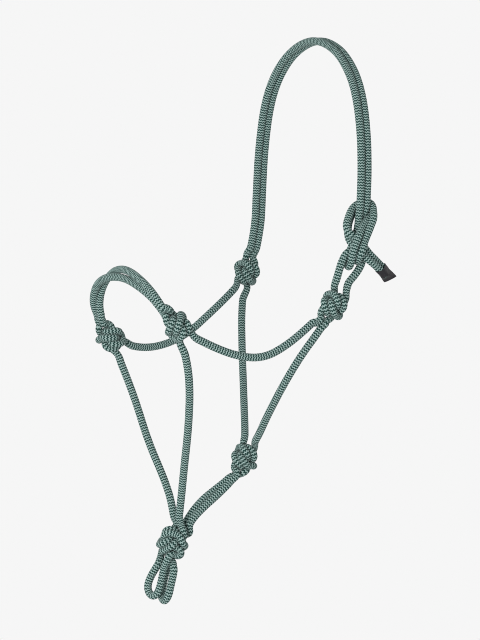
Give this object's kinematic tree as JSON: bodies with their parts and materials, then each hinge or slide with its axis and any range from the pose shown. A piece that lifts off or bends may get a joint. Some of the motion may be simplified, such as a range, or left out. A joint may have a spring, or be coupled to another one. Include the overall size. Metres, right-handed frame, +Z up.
{
  "type": "rope halter",
  "caption": "Rope horse halter of knotted braided rope with a doubled noseband and crown, fiador knot, lead loops and a sleeved tail at the crown hitch.",
  "frame": {"origin": "underside of the crown where it rests on the poll", "axes": "+Z up, the horse looks along -Y, +X is the horse's left side"},
  "size_m": [0.2375, 0.2854, 0.6244],
  "materials": {
    "braided_rope": "dark green and pale green zigzag braid",
    "black_sleeve": "matte black shrink sleeve",
    "melted_tip": "melted rope end"
  },
  "bodies": {
    "crown": {"crown_rope_front": "braided_rope", "crown_rope_rear": "braided_rope", "hitch_rope_front": "braided_rope", "hitch_rope_rear": "braided_rope", "eye_loop": "braided_rope"},
    "tail": {"tail_rope_upper": "braided_rope", "tail_rope_lower": "braided_rope", "end_sleeve": "black_sleeve", "rope_tip_upper": "melted_tip", "rope_tip_lower": "melted_tip"},
    "cheeks": {"cheek_knot_left": "braided_rope", "cheek_knot_right": "braided_rope", "cheek_rope_left": "braided_rope", "cheek_rope_right": "braided_rope", "nose_knot_left": "braided_rope", "nose_knot_right": "braided_rope"},
    "noseband": {"noseband_rope_upper": "braided_rope", "noseband_rope_lower": "braided_rope"},
    "chin": {"chin_rope_left": "braided_rope", "chin_rope_right": "braided_rope", "fiador_knot": "braided_rope"},
    "jaw": {"jaw_rope_outer": "braided_rope", "jaw_rope_inner": "braided_rope"},
    "throat": {"throat_rope_left": "braided_rope", "throat_rope_right": "braided_rope", "throat_knot": "braided_rope"},
    "lead_left": {"lead_loop_left": "braided_rope"},
    "lead_right": {"lead_loop_right": "braided_rope"}
  },
  "joints": [
    {"name": "cheek_swing", "type": "hinge", "parent": "crown", "child": "cheeks", "pos_m": [0.001, -0.04, -0.275], "axis": [0.9911, -0.0392, -0.1276], "range_deg": [-18, 18]},
    {"name": "noseband_swing", "type": "hinge", "parent": "cheeks", "child": "noseband", "pos_m": [0, -0.2245, -0.3185], "axis": [0.9901, 0.0198, 0.1386], "range_deg": [-25, 35]},
    {"name": "throat_fold", "type": "hinge", "parent": "cheeks", "child": "throat", "pos_m": [0.001, -0.04, -0.275], "axis": [0.9911, -0.0392, -0.1276], "range_deg": [-3, 7]},
    {"name": "chin_fold", "type": "hinge", "parent": "cheeks", "child": "chin", "pos_m": [0, -0.2245, -0.3185], "axis": [0.9901, 0.0198, 0.1386], "range_deg": [-2, 4]},
    {"name": "jaw_fold", "type": "hinge", "parent": "chin", "child": "jaw", "pos_m": [0, -0.187, -0.553], "axis": [1, 0, 0], "range_deg": [-10, 5]},
    {"name": "lead_left_swing", "type": "hinge", "parent": "chin", "child": "lead_left", "pos_m": [0, -0.187, -0.553], "axis": [1, 0, 0], "range_deg": [-25, 25]},
    {"name": "lead_right_swing", "type": "hinge", "parent": "chin", "child": "lead_right", "pos_m": [0, -0.187, -0.553], "axis": [1, 0, 0], "range_deg": [-25, 25]},
    {"name": "tail_swing", "type": "hinge", "parent": "crown", "child": "tail", "pos_m": [0.112, -0.014, -0.226], "axis": [1, 0, 0], "range_deg": [0, 35]}
  ],
  "couplings": [
    {"joint": "chin_fold", "follows": "throat_fold", "ratio": 0.468},
    {"joint": "jaw_fold", "follows": "throat_fold", "ratio": -1.315}
  ]
}
